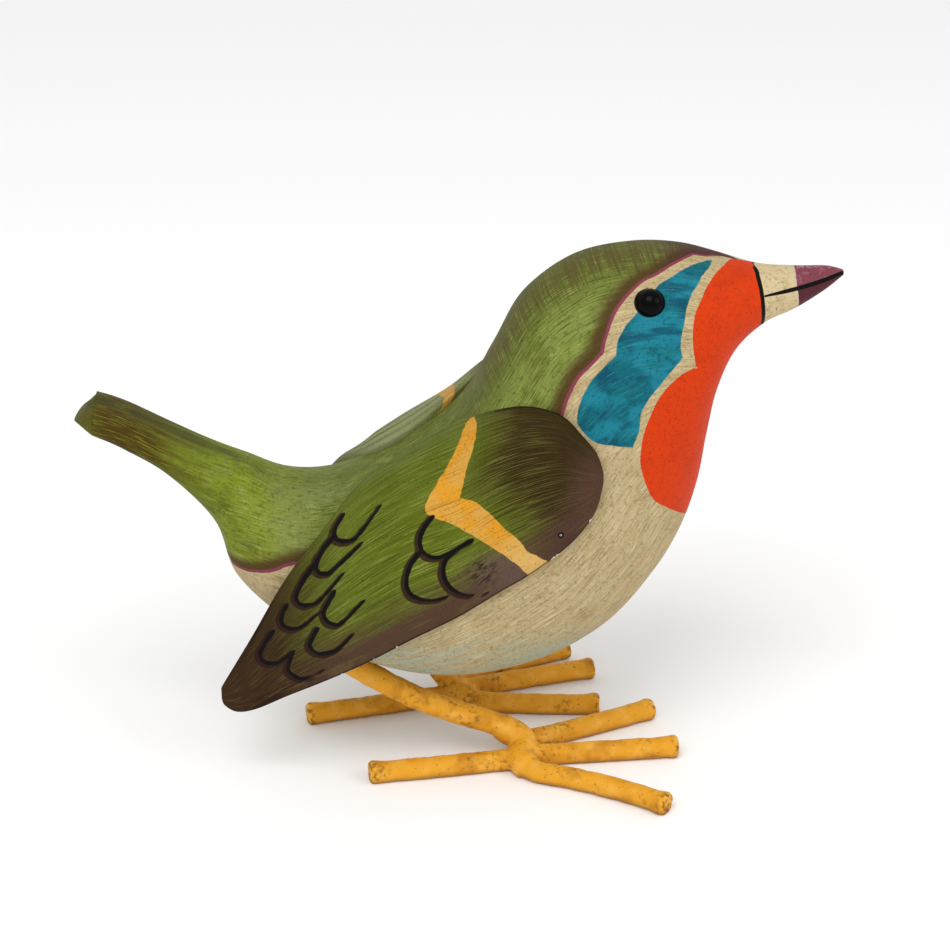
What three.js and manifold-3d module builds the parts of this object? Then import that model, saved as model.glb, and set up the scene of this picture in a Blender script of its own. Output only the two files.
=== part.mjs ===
// Songbird figurine: a carved and painted wooden bird on bent wire legs, with bead eyes.
// Millimetres, +Z up. The bird faces +X and is symmetrical about the XZ plane, apart from
// its feet and the shorter tip of its left wing.
import * as THREE from "three";
import { mergeVertices } from "three/addons/utils/BufferGeometryUtils.js";
import Module from "manifold-3d";

const wasm = await Module();
wasm.setup();

// The carved body is a loft from the beak's tip to the tail's end. Each station is a slice through
// the bird: where it meets the back line and the belly line, its half width, how far down the slice
// is widest (0 at the back, 1 at the belly) and how square its upper and lower halves are (2 is round).
const BODY_STATIONS = [
  { back: [75.2, 100.6], belly: [75.2, 99.5], half: 0.8, widest: 0.5, upper: 2.0, lower: 2.0 },
  { back: [71.9, 101.4], belly: [71.3, 96.4], half: 2.6, widest: 0.5, upper: 2.0, lower: 2.0 },
  { back: [65.9, 101.4], belly: [65.8, 93.0], half: 4.6, widest: 0.5, upper: 2.0, lower: 2.0 },
  { back: [58.5, 101.9], belly: [59.9, 90.4], half: 7.2, widest: 0.5, upper: 2.0, lower: 2.0 },
  { back: [51.1, 103.9], belly: [54.1, 85.3], half: 11.5, widest: 0.5, upper: 2.1, lower: 2.1 },
  { back: [43.1, 105.8], belly: [50.9, 77.6], half: 15.0, widest: 0.5, upper: 2.2, lower: 2.2 },
  { back: [33.7, 106.2], belly: [49.3, 68.2], half: 17.0, widest: 0.5, upper: 2.2, lower: 2.2 },
  { back: [22.6, 103.8], belly: [48.0, 58.2], half: 18.5, widest: 0.5, upper: 2.2, lower: 2.2 },
  { back: [12.9, 96.6], belly: [44.8, 48.4], half: 20.5, widest: 0.55, upper: 2.2, lower: 2.2 },
  { back: [7.0, 85.6], belly: [39.4, 38.9], half: 22.5, widest: 0.55, upper: 2.2, lower: 2.2 },
  { back: [1.2, 74.6], belly: [29.8, 27.6], half: 24.0, widest: 0.5, upper: 2.4, lower: 2.2 },
  { back: [-7.2, 67.2], belly: [15.3, 19.9], half: 24.5, widest: 0.5, upper: 2.5, lower: 2.2 },
  { back: [-16.6, 61.7], belly: [-1.9, 17.4], half: 24.0, widest: 0.5, upper: 2.5, lower: 2.2 },
  { back: [-25.5, 58.4], belly: [-18.6, 20.8], half: 21.5, widest: 0.5, upper: 2.4, lower: 2.2 },
  { back: [-34.3, 59.3], belly: [-34.0, 29.2], half: 17.0, widest: 0.5, upper: 2.3, lower: 2.2 },
  { back: [-42.2, 63.2], belly: [-44.6, 39.4], half: 12.5, widest: 0.45, upper: 2.3, lower: 2.2 },
  { back: [-49.3, 66.4], belly: [-48.4, 51.0], half: 9.5, widest: 0.45, upper: 2.3, lower: 2.2 },
  { back: [-57.4, 70.4], belly: [-57.4, 61.6], half: 8.0, widest: 0.5, upper: 2.6, lower: 2.4 },
  { back: [-65.3, 74.4], belly: [-65.6, 67.4], half: 7.8, widest: 0.5, upper: 2.8, lower: 2.6 },
  { back: [-70.4, 76.6], belly: [-70.8, 69.8], half: 7.0, widest: 0.5, upper: 2.8, lower: 2.6 },
  { back: [-72.4, 75.4], belly: [-75.2, 72.4], half: 4.8, widest: 0.5, upper: 2.6, lower: 2.6 },
];
const BODY_SLICES_PER_STATION = 2;
const BODY_SIDES = 32;

// The right wing is a curved slab on the flank. Each station is an upright slice from its upper edge
// to its lower edge, with the slab's depth there and how far its back swells above the upper edge.
// Behind the flank the slab stands free of the body.
const WING_STATIONS = [
  { top: [26.8, -22.7, 68.6], low: [26.8, -23.3, 66.4], depth: 3.0, swell: 0.0 },
  { top: [25.6, -22.0, 72.2], low: [25.6, -24.1, 61.4], depth: 4.5, swell: 0.0 },
  { top: [23.0, -21.2, 75.5], low: [23.0, -24.8, 57.2], depth: 6.0, swell: 0.0 },
  { top: [19.0, -19.8, 79.4], low: [19.0, -25.5, 53.2], depth: 6.0, swell: 0.0 },
  { top: [13.0, -16.8, 80.3], low: [13.0, -26.1, 48.8], depth: 6.0, swell: 0.0 },
  { top: [6.5, -12.2, 77.8], low: [6.5, -26.5, 44.9], depth: 6.0, swell: 0.5 },
  { top: [-1.0, -7.0, 73.0], low: [-1.0, -26.5, 40.1], depth: 6.0, swell: 1.0 },
  { top: [-10.0, -5.0, 66.6], low: [-10.0, -25.8, 35.0], depth: 6.0, swell: 4.4 },
  { top: [-19.0, -6.5, 61.2], low: [-19.0, -23.8, 29.0], depth: 6.0, swell: 3.0 },
  { top: [-27.0, -16.0, 54.8], low: [-27.0, -21.4, 24.0], depth: 5.0, swell: 0.5 },
  { top: [-34.5, -18.8, 45.5], low: [-34.5, -19.4, 19.8], depth: 3.6, swell: 0.0 },
  { top: [-41.0, -17.8, 33.4], low: [-41.0, -17.6, 16.0], depth: 3.0, swell: 0.0 },
  { top: [-45.0, -16.8, 26.0], low: [-45.0, -16.6, 14.9], depth: 2.6, swell: 0.0 },
  { top: [-47.4, -16.2, 21.6], low: [-47.4, -16.2, 16.2], depth: 2.0, swell: 0.0 },
  { top: [-48.0, -16.1, 20.4], low: [-48.0, -16.1, 17.8], depth: 1.4, swell: 0.0 },
];
const WING_SLICES_PER_STATION = 2;
const WING_SPAN_POINTS = 10;
const WING_FULLNESS = 2.4;
const WING_FREE_FROM = -16;
const LEFT_TIP_SHORTER = 9;
const LEFT_TIP_WIDER = 5;
const GLUE_LINE = 0.3;
// Facets smaller than this, left by a cut or a join, are merged into their neighbours.
const WING_SLIVER = 0.2;
const WIRE_SLIVER = 0.05;

// The legs and toes are coated wire. A leg runs from its socket down to the floor, turns outwards
// at the knuckle and runs on as the outer toe; the other toes are soldered to the knuckle.
const LEG_RADIUS = 2.4;
const KNUCKLE_RADIUS = 2.9;
const TOE_RADIUS = 2.2;
const TOE_HEIGHT = 1.9;
const WIRE_SIDES = 10;
const RIGHT_FOOT = {
  solder: [12.8, -12.6, 2.2],
  leg: [
    [-29, -10.2, 28.6],
    [-22.2, -10.4, 22.4],
    [-14.4, -10.6, 17.2],
    [-6.6, -10.7, 12.9],
    [1.2, -10.7, 9.8],
    [8.2, -10.7, 7.0],
    [12, -11, 4.4],
  ],
  knuckle: [[8.2, -10.7, 7.0], [12, -11, 4.4], [12.8, -13, 3.2], [11.8, -16.4, 2.6], [13.4, -19.4, 2.1]],
  toes: [
    [[11.8, -17], [15, -20.8], [21.4, -23.4], [27.2, -26.4], [34.7, -31], [39.8, -34.7]],
    [[12.6, -14.2], [30.6, -13.2], [44.6, -12.1]],
    [[12, -9], [29.6, -1.6], [41.1, 3.9]],
    [[12.6, -15.2], [-4.5, -17.7], [-18.9, -19.4]],
  ],
};
const LEFT_FOOT = {
  solder: [0.8, 12.8, 2.2],
  leg: [[-8.6, 14.6, 30], [-7.6, 14.8, 22], [-6.2, 15, 14.5], [-4.2, 15.2, 8.6], [-1.2, 14.8, 4.4]],
  knuckle: [[-4.2, 15.2, 8.6], [-1.2, 14.8, 4.4], [0, 13.4, 2.8], [0.6, 11.4, 2.4], [3.4, 10, 2.1]],
  toes: [
    [[0.4, 11.4], [6.4, 8.6], [18, 7], [30.2, 6.2]],
    [[-0.2, 14], [18.6, 19.4], [30.4, 22.4]],
    [[-1.4, 15.6], [2.4, 20.6], [14.6, 26.6], [25.6, 32]],
    [[0, 12.4], [-17.3, 8.2], [-31.6, 5.2]],
  ],
};

// The eyes are round beads sunk into the head.
const EYE_RADIUS = 3.0;
const EYE_CENTRE = [36.1, -12.9, 99.0];

const PAINTED_WOOD = new THREE.MeshStandardMaterial({ color: 0x7d8a3c, roughness: 0.6, metalness: 0 });
const COATED_WIRE = new THREE.MeshStandardMaterial({ color: 0xe1a02d, roughness: 0.5, metalness: 0 });
const BLACK_BEAD = new THREE.MeshStandardMaterial({ color: 0x0c0c0c, roughness: 0.1, metalness: 0 });

// Value at parameter t between b and c of a smooth curve through a, b, c and d.
function throughFour(a, b, c, d, t) {
  const bend = 2 * a - 5 * b + 4 * c - d;
  const twist = 3 * (b - c) + d - a;
  return b + 0.5 * t * (c - a + t * (bend + t * twist));
}

// Reads any value of a row of stations at a fractional station number.
function readerAt(stations, place) {
  const last = stations.length - 1;
  const start = Math.min(Math.floor(place), last - 1);
  const four = [start - 1, start, start + 1, start + 2].map((i) => stations[Math.min(Math.max(i, 0), last)]);
  return (pick) => throughFour(...four.map(pick), place - start);
}

function bodySlice(place) {
  const value = readerAt(BODY_STATIONS, place);
  return {
    back: new THREE.Vector3(value((s) => s.back[0]), 0, value((s) => s.back[1])),
    belly: new THREE.Vector3(value((s) => s.belly[0]), 0, value((s) => s.belly[1])),
    half: value((s) => s.half),
    widest: value((s) => s.widest),
    upper: value((s) => s.upper),
    lower: value((s) => s.lower),
  };
}

// One closed ring of points around a slice, starting at the back line.
function sliceRing(slice, sides, grow) {
  const middle = slice.back.clone().lerp(slice.belly, slice.widest);
  const outward = slice.back.clone().sub(slice.belly).setLength(grow);
  const up = slice.back.clone().sub(middle).add(outward);
  const down = slice.belly.clone().sub(middle).sub(outward);
  return Array.from({ length: sides }, (_, i) => {
    const angle = (2 * Math.PI * i) / sides;
    const above = Math.cos(angle) >= 0;
    const power = 2 / (above ? slice.upper : slice.lower);
    const along = Math.abs(Math.cos(angle)) ** power;
    const side = Math.sign(Math.sin(angle)) * Math.abs(Math.sin(angle)) ** power;
    const point = middle.clone().addScaledVector(above ? up : down, along);
    point.y = side * (slice.half + grow);
    return point;
  });
}

// A closed skin over a row of rings with equal counts, with a fan over each end.
function skin(rings) {
  const sides = rings[0].length;
  const centre = (ring) => ring.reduce((sum, p) => sum.add(p), new THREE.Vector3()).divideScalar(sides);
  const points = [...rings.flat(), centre(rings[0]), centre(rings.at(-1))];
  const faces = [];
  for (let r = 0; r + 1 < rings.length; r++) {
    for (let i = 0; i < sides; i++) {
      const j = (i + 1) % sides;
      const [a, b, c, d] = [r * sides + i, r * sides + j, (r + 1) * sides + j, (r + 1) * sides + i];
      faces.push(a, b, c, a, c, d);
    }
  }
  const firstCentre = rings.length * sides;
  const lastRing = (rings.length - 1) * sides;
  for (let i = 0; i < sides; i++) {
    const j = (i + 1) % sides;
    faces.push(firstCentre, j, i, firstCentre + 1, lastRing + i, lastRing + j);
  }
  return new THREE.BufferGeometry().setFromPoints(points).setIndex(faces);
}

function bodySkin(grow) {
  const slices = (BODY_STATIONS.length - 1) * BODY_SLICES_PER_STATION;
  const rings = Array.from({ length: slices + 1 }, (_, i) =>
    sliceRing(bodySlice(i / BODY_SLICES_PER_STATION), BODY_SIDES, grow),
  );
  return skin(rings);
}

// A closed geometry as a manifold solid, for joins and cuts, and back again.
function solidOf(geometry) {
  const bare = new THREE.BufferGeometry().setAttribute("position", geometry.getAttribute("position"));
  bare.setIndex(geometry.index);
  const merged = mergeVertices(bare);
  return new wasm.Manifold(
    new wasm.Mesh({
      numProp: 3,
      vertProperties: merged.getAttribute("position").array,
      triVerts: new Uint32Array(merged.index.array),
    }),
  );
}

function geometryOf(solid) {
  const mesh = solid.getMesh();
  return new THREE.BufferGeometry()
    .setAttribute("position", new THREE.BufferAttribute(mesh.vertProperties, 3))
    .setIndex(new THREE.BufferAttribute(mesh.triVerts, 1));
}

// One closed ring around a wing slice: down the inner face, then back up the outer face.
function wingRing(stations, place) {
  const value = readerAt(stations, place);
  const depth = value((s) => s.depth);
  const swell = value((s) => s.swell);
  const [topX, topY, topZ] = [0, 1, 2].map((axis) => value((s) => s.top[axis]));
  const [lowX, lowY, lowZ] = [0, 1, 2].map((axis) => value((s) => s.low[axis]));
  const face = (inset) =>
    Array.from({ length: WING_SPAN_POINTS }, (_, i) => {
      const angle = (0.5 * Math.PI * i) / (WING_SPAN_POINTS - 1);
      const side = Math.sin(angle) ** (2 / WING_FULLNESS);
      const rise = Math.cos(angle) ** (2 / WING_FULLNESS);
      return new THREE.Vector3(
        lowX + (topX - lowX) * rise,
        topY + (lowY + inset - topY) * side,
        lowZ + (topZ - inset + swell * side - lowZ) * rise,
      );
    });
  return [...face(depth), ...face(0).reverse()];
}

// A right wing. Behind the flank it is drawn in evenly, so that its tip is shorter and wider by so much.
function wingSolid(shorter, wider) {
  const reach = WING_FREE_FROM - WING_STATIONS.at(-1).top[0];
  const share = (x) => Math.max(WING_FREE_FROM - x, 0) / reach;
  const drawn = ([x, y, z]) => [x + shorter * share(x), y - wider * share(x), z];
  const stations = WING_STATIONS.map((s) => ({ ...s, top: drawn(s.top), low: drawn(s.low) }));
  const slices = (stations.length - 1) * WING_SLICES_PER_STATION;
  const rings = Array.from({ length: slices + 1 }, (_, i) => wingRing(stations, i / WING_SLICES_PER_STATION));
  return solidOf(skin(rings)).subtract(solidOf(bodySkin(GLUE_LINE))).asOriginal().simplify(WING_SLIVER);
}

// A round wire along a smooth path, with flat cut ends.
function wire(path, radius) {
  const curve = new THREE.CatmullRomCurve3(path.map(([x, y, z = TOE_HEIGHT]) => new THREE.Vector3(x, y, z)));
  const round = new THREE.Shape().absarc(0, 0, radius, 0, 2 * Math.PI);
  const steps = 3 * (path.length - 1);
  const options = { steps, curveSegments: WIRE_SIDES / 2, bevelEnabled: false, extrudePath: curve };
  return solidOf(new THREE.ExtrudeGeometry(round, options));
}

function ball(centre, radius) {
  return solidOf(new THREE.SphereGeometry(radius, 16, 10).translate(...centre));
}

// A leg with its knuckle and toes as one piece, standing on the floor.
function legSolid(foot, grow) {
  const wires = [
    wire(foot.leg, LEG_RADIUS + grow),
    wire(foot.knuckle, KNUCKLE_RADIUS + grow),
    ball(foot.solder, KNUCKLE_RADIUS + grow),
    ...foot.toes.map((toe) => wire(toe, TOE_RADIUS + grow)),
  ];
  return wasm.Manifold.union(wires).trimByPlane([0, 0, 1], 0).asOriginal().simplify(WIRE_SLIVER);
}

const mirrored = (solid) => solid.mirror([0, 1, 0]);
const sockets = wasm.Manifold.union([
  legSolid(RIGHT_FOOT, GLUE_LINE),
  legSolid(LEFT_FOOT, GLUE_LINE),
  ball(EYE_CENTRE, EYE_RADIUS + GLUE_LINE),
  mirrored(ball(EYE_CENTRE, EYE_RADIUS + GLUE_LINE)),
]);
const pieces = [
  ["body", solidOf(bodySkin(0)).subtract(sockets), PAINTED_WOOD],
  ["wing_right", wingSolid(0, 0), PAINTED_WOOD],
  ["wing_left", mirrored(wingSolid(LEFT_TIP_SHORTER, LEFT_TIP_WIDER)), PAINTED_WOOD],
  ["leg_right", legSolid(RIGHT_FOOT, 0), COATED_WIRE],
  ["leg_left", legSolid(LEFT_FOOT, 0), COATED_WIRE],
  ["eye_right", ball(EYE_CENTRE, EYE_RADIUS), BLACK_BEAD],
  ["eye_left", mirrored(ball(EYE_CENTRE, EYE_RADIUS)), BLACK_BEAD],
];

const bird = new THREE.Group();
for (const [name, solid, material] of pieces) {
  const mesh = new THREE.Mesh(geometryOf(solid), material);
  mesh.name = name;
  bird.add(mesh);
}

// The origin is on the floor, under the middle of the bird's box.
const middle = new THREE.Box3().setFromObject(bird).getCenter(new THREE.Vector3());
for (const mesh of bird.children) mesh.geometry.translate(-middle.x, -middle.y, 0);

export default bird;
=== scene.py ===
"""A carved and hand-painted wooden songbird on coated wire feet, on a pale studio floor."""
import math

import bpy
import numpy as np
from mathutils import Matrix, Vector, noise
from mathutils.bvhtree import BVHTree


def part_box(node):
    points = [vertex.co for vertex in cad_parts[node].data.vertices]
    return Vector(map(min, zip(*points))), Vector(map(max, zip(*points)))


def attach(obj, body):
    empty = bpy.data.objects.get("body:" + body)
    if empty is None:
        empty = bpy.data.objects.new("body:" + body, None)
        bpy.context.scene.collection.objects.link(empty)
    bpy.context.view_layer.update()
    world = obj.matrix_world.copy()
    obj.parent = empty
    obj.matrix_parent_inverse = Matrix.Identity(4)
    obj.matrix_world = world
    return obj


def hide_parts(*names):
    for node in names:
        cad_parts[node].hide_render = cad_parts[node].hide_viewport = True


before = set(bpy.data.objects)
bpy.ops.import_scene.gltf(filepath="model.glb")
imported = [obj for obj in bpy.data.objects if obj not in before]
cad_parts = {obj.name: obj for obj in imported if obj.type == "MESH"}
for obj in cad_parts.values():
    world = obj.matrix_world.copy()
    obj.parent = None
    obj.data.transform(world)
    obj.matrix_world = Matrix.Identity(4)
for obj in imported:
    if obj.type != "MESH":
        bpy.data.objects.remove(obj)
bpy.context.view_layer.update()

MM = 0.001
TINY = 1e-9
BODY_LOW, BODY_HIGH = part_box("body")
MID_Y = (BODY_LOW.y + BODY_HIGH.y) / 2 / MM

# Carved body, beak tip to tail end, in mm from the middle plane; the last two rows sharpen the tail end
# back x, back z, belly x, belly z, half width, where it is widest, squareness above, squareness below
BODY_STATIONS = np.array([
    (75.2, 100.6, 75.2, 99.5, 0.8, 0.5, 2.0, 2.0),
    (71.9, 101.4, 71.3, 96.4, 2.6, 0.5, 2.0, 2.0),
    (65.9, 101.4, 65.8, 93.0, 4.6, 0.5, 2.0, 2.0),
    (58.5, 101.9, 59.9, 90.4, 7.2, 0.5, 2.0, 2.0),
    (51.1, 103.9, 54.1, 85.3, 11.5, 0.5, 2.1, 2.1),
    (43.1, 105.8, 50.9, 77.6, 15.0, 0.5, 2.2, 2.2),
    (33.7, 106.2, 49.3, 68.2, 17.0, 0.5, 2.2, 2.2),
    (22.6, 103.8, 48.0, 58.2, 18.5, 0.5, 2.2, 2.2),
    (12.9, 96.6, 44.8, 48.4, 20.5, 0.55, 2.2, 2.2),
    (7.0, 85.6, 39.4, 38.9, 22.5, 0.55, 2.2, 2.2),
    (1.2, 74.6, 29.8, 27.6, 24.0, 0.5, 2.4, 2.2),
    (-7.2, 67.2, 15.3, 19.9, 24.5, 0.5, 2.5, 2.2),
    (-16.6, 61.7, -1.9, 17.4, 24.0, 0.5, 2.5, 2.2),
    (-25.5, 58.4, -18.6, 20.8, 21.5, 0.5, 2.4, 2.2),
    (-34.3, 59.3, -34.0, 29.2, 17.0, 0.5, 2.3, 2.2),
    (-42.2, 63.2, -44.6, 39.4, 12.5, 0.45, 2.3, 2.2),
    (-49.3, 66.4, -48.4, 51.0, 9.5, 0.45, 2.3, 2.2),
    (-57.4, 70.4, -57.4, 61.6, 8.0, 0.5, 2.6, 2.4),
    (-65.3, 74.4, -65.6, 67.4, 7.8, 0.5, 2.8, 2.6),
    (-70.4, 76.6, -70.8, 69.8, 7.0, 0.5, 2.8, 2.6),
    (-70.9, 76.4, -72.0, 70.5, 6.7, 0.5, 2.8, 2.6),
    (-72.4, 75.4, -75.2, 72.4, 3.4, 0.5, 2.0, 2.0),
])
BODY_SLICES = 13
BODY_SIDES = 200

# Knife marks on the body: how far apart, how deep, and how thick the wood has to be to take them
CARVING_SIZE = 11.0
CARVING_DEPTH = 0.22
THIN_END = 8.0

# Right wing, shoulder to tip: x, top edge y and z, lower edge y and z, depth, swell of its back
WING_STATIONS = np.array([
    (26.8, -22.7, 68.6, -23.3, 66.4, 3.0, 0.0),
    (25.6, -22.0, 72.2, -24.1, 61.4, 4.5, 0.0),
    (23.0, -21.2, 75.5, -24.8, 57.2, 6.0, 0.0),
    (19.0, -19.8, 79.4, -25.5, 53.2, 6.0, 0.0),
    (13.0, -16.8, 80.3, -26.1, 48.8, 6.0, 0.0),
    (6.5, -12.2, 77.8, -26.5, 44.9, 6.0, 0.5),
    (-1.0, -7.0, 73.0, -26.5, 40.1, 6.0, 1.0),
    (-10.0, -5.0, 66.6, -25.8, 35.0, 6.0, 4.4),
    (-19.0, -6.5, 61.2, -23.8, 29.0, 6.0, 3.0),
    (-27.0, -16.0, 54.8, -21.4, 24.0, 5.0, 0.5),
    (-34.5, -18.8, 45.5, -19.4, 19.8, 3.6, 0.0),
    (-41.0, -17.8, 33.4, -17.6, 16.0, 3.0, 0.0),
    (-45.0, -16.8, 26.0, -16.6, 14.9, 2.6, 0.0),
    (-47.4, -16.2, 21.6, -16.2, 16.2, 2.0, 0.0),
    (-48.0, -16.1, 20.4, -16.1, 17.8, 1.4, 0.0),
])
WING_SLICES = 18
WING_FACE_POINTS = 150
WING_INNER_POINTS = 24
WING_EDGE_ROUND = 0.6
WING_SQUARENESS = 2.4
WING_FACE_ENDS = 0.06
CORNER_STEPS = (0.25, 0.5, 0.75)
WING_FREE_FROM = -16.0
LEFT_TIP_SHORTER = 9.0
LEFT_TIP_WIDER = 5.0
WING_BREADTH = 45.0
FRONT_STATIONS = 5

# Wire feet: a leg, its bent knuckle and the toes, whose points lie flat on the floor
LEG_RADIUS = 2.4
KNUCKLE_RADIUS = 2.9
TOE_RADIUS = 2.2
TOE_HEIGHT = 1.9
RIGHT_FOOT = {
    "leg": [(-29, -10.2, 28.6), (-22.2, -10.4, 22.4), (-14.4, -10.6, 17.2), (-6.6, -10.7, 12.9),
            (1.2, -10.7, 9.8), (8.2, -10.7, 7), (12, -11, 4.4)],
    "knuckle": [(8.2, -10.7, 7), (12, -11, 4.4), (12.8, -13, 3.2), (11.8, -16.4, 2.6), (13.4, -19.4, 2.1)],
    "toes": [[(11.8, -17), (15, -20.8), (21.4, -23.4), (27.2, -26.4), (34.7, -31), (39.8, -34.7)],
             [(12.6, -14.2), (30.6, -13.2), (44.6, -12.1)],
             [(12, -9), (29.6, -1.6), (41.1, 3.9)],
             [(12.6, -15.2), (-4.5, -17.7), (-18.9, -19.4)]],
}
LEFT_FOOT = {
    "leg": [(-8.6, 14.6, 30), (-7.6, 14.8, 22), (-6.2, 15, 14.5), (-4.2, 15.2, 8.6), (-1.2, 14.8, 4.4)],
    "knuckle": [(-4.2, 15.2, 8.6), (-1.2, 14.8, 4.4), (0, 13.4, 2.8), (0.6, 11.4, 2.4), (3.4, 10, 2.1)],
    "toes": [[(0.4, 11.4), (6.4, 8.6), (18, 7), (30.2, 6.2)],
             [(-0.2, 14), (18.6, 19.4), (30.4, 22.4)],
             [(-1.4, 15.6), (2.4, 20.6), (14.6, 26.6), (25.6, 32)],
             [(0, 12.4), (-17.3, 8.2), (-31.6, 5.2)]],
}

# Melted coat on the wires: cut ends swollen by the cutter, lumps of two sizes
WIRE_STEPS = 10
WIRE_SIDES = 24
NEARLY_UPRIGHT = 0.2
TOE_KNOB = 1.13
KNOB_PLACE = 1.0
KNOB_LENGTH = 1.2
CUT_EDGE = 0.88
COAT_VOXEL = 0.35
COAT_SOFTENING = 6
LUMP_SIZE = 2.4
SMALL_LUMP_SIZE = 0.9
SMALL_LUMP_SHARE = 0.5
LUMP_HEIGHT = 0.13

# Bead eyes, pressed a little flat; the dark rim of the socket shows most on the side of the tail
EYE_RADIUS = 2.85
EYE_CENTRE = (36.1, -12.9, 99.0)
BEAD_TURNS = 48
BEAD_LEVELS = 28
BEAD_POLE = 0.02
BEAD_FLATNESS = 0.97
SOCKET_BACK = 0.35

# Painted outlines, drawn as seen from the side and a little above: x and the height in that view, in mm
# A point given twice is a sharp corner
DRAWN_FROM = math.radians(24)
OUTLINE_STEPS = 8
SIGHT_LENGTH = 200.0
NEAR_MISS = 3.0
VIEW_UP = np.array([0.0, math.sin(DRAWN_FROM), math.cos(DRAWN_FROM)])
VIEW_IN = np.array([0.0, math.cos(DRAWN_FROM), -math.sin(DRAWN_FROM)])
CAP_EDGE = [(52.0, 94.8), (49.8, 94.8), (48.3, 94.6), (46.8, 94.7), (45.5, 94.9), (45.5, 94.9),
            (43.8, 94.1), (40.9, 92.6), (37.5, 90.6), (34.2, 88.9), (29.9, 84.2), (27.8, 79.4),
            (27.0, 76.0), (27.0, 76.0), (25.3, 74.1), (22.5, 71.4), (20.6, 68.0), (19.4, 64.4),
            (16.0, 51.4), (-8.0, 40.5), (-31.3, 36.9), (-36.9, 35.3), (-41.3, 35.2), (-44.0, 36.1),
            (-47.5, 38.5)]
CAP_REST = [(-85.0, 38.5), (-85.0, 120.0), (52.0, 120.0)]
CHEEK = [(49.0, 94.0), (49.0, 94.0), (46.7, 93.4), (44.2, 92.5), (40.7, 90.5), (37.2, 88.2),
         (33.2, 83.2), (31.3, 81.2), (29.7, 78.3), (29.3, 75.4), (29.3, 75.4), (26.8, 73.2),
         (24.4, 70.4), (22.5, 66.5), (21.9, 63.3), (22.6, 61.6), (25.3, 59.2), (28.6, 58.4),
         (32.7, 58.0), (32.7, 58.0), (33.8, 61.0), (34.2, 64.4), (35.7, 67.2), (38.5, 70.6),
         (42.1, 74.8), (42.1, 74.8), (41.7, 77.2), (42.1, 80.1), (43.4, 85.7), (45.2, 88.6),
         (46.6, 90.7), (48.2, 92.5)]
BIB_EDGE = [(53.8, 94.3), (53.8, 94.3), (52.7, 94.1), (50.9, 92.6), (48.9, 90.7), (46.9, 88.0),
            (45.8, 85.7), (44.4, 82.6), (44.0, 78.1), (44.8, 73.1), (44.8, 73.1), (41.1, 71.0),
            (38.0, 67.7), (35.8, 63.4), (34.5, 59.1), (34.3, 54.7), (35.5, 50.8), (37.6, 47.6),
            (42.0, 45.6), (44.4, 45.0), (46.2, 44.7)]
FRONT_REST = [(90.0, 44.6), (90.0, 120.0), (53.8, 120.0)]
BEAK_RING = [(57.6, 92.5), (57.8, 91.6), (57.9, 90.5), (58.3, 87.1), (59.0, 81.9), (59.2, 81.0)]
GAPE = [(58.9, 86.6), (65.9, 88.2), (71.0, 89.7), (75.1, 91.3)]
BEAK_TIP = [(65.5, 92.6), (65.5, 91.5), (65.5, 88.8), (66.2, 85.2), (66.4, 84.6)]
RUMP_BLOOM = (-30.0, 46.5)
WING_BAR = [(2.2, 64.7), (3.0, 64.3), (2.9, 61.2), (1.9, 57.7), (0.5, 53.4), (-0.5, 49.2), (-0.5, 49.2),
            (1.7, 48.5), (3.8, 47.3), (7.2, 43.7), (10.7, 40.5), (12.5, 38.5), (16.6, 36.2),
            (16.6, 36.2), (12.7, 33.6), (12.7, 33.6), (11.2, 35.2), (7.2, 38.3), (3.7, 40.7),
            (0.3, 42.8), (-3.1, 44.5), (-5.7, 45.6), (-7.0, 46.4), (-7.1, 47.9), (-5.6, 50.8),
            (-2.8, 55.2), (-0.5, 59.6), (1.0, 63.1)]
BAR_INNER_SIDE = WING_BAR[1:13]
WING_FRONT_REST = [(40.0, 30.0), (40.0, 80.0), (3.0, 80.0)]
FEATHER_STROKES = [
    [(-5.7, 45.7), (-7.3, 43.8), (-8.3, 41.4), (-8.0, 39.4), (-6.8, 38.2), (-4.9, 37.8), (-2.4, 38.8),
     (1.4, 41.0)],
    [(-8.3, 39.0), (-10.0, 36.7), (-10.9, 34.2), (-10.9, 32.0), (-9.9, 30.5), (-7.8, 29.6),
     (-5.1, 29.6), (-2.9, 30.3)],
    [(1.6, 41.0), (-1.0, 39.5), (-3.1, 37.8), (-3.9, 36.0), (-3.7, 33.8), (-2.6, 31.9), (-0.8, 30.8),
     (1.5, 30.3), (5.0, 30.8)],
    [(-22.9, 46.3), (-24.4, 44.0), (-24.7, 42.6), (-24.1, 41.5), (-22.7, 41.2), (-21.0, 41.5),
     (-19.2, 43.3), (-15.6, 48.0)],
    [(-25.2, 41.7), (-27.0, 39.5), (-28.4, 36.7), (-27.8, 35.2), (-26.7, 35.0), (-25.2, 35.5),
     (-19.2, 41.0)],
    [(-28.9, 36.6), (-31.4, 32.9), (-32.3, 30.9), (-32.3, 29.7), (-31.2, 28.8), (-29.8, 28.9),
     (-27.8, 29.7), (-22.9, 35.1)],
    [(-34.2, 28.9), (-35.2, 27.2), (-35.5, 25.9), (-34.9, 24.6), (-33.3, 24.1), (-31.3, 24.6),
     (-27.9, 27.3)],
    [(-24.9, 31.4), (-26.9, 27.9), (-27.1, 26.7), (-26.4, 25.5), (-25.1, 24.9), (-23.5, 25.3),
     (-19.1, 29.7)],
    [(-37.2, 23.6), (-39.6, 20.0), (-39.9, 18.5), (-39.1, 17.4), (-37.6, 17.1), (-35.8, 17.6),
     (-33.1, 19.7)],
    [(-28.4, 24.1), (-30.0, 21.1), (-29.7, 20.0), (-28.4, 19.1), (-26.4, 19.2), (-24.4, 20.0),
     (-21.3, 23.1)],
    [(-33.4, 19.3), (-34.5, 16.1), (-33.4, 14.6), (-31.7, 13.9), (-29.7, 14.3), (-27.1, 15.8)],
]
PIN_HOLE = (18.6, 41.6)
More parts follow.
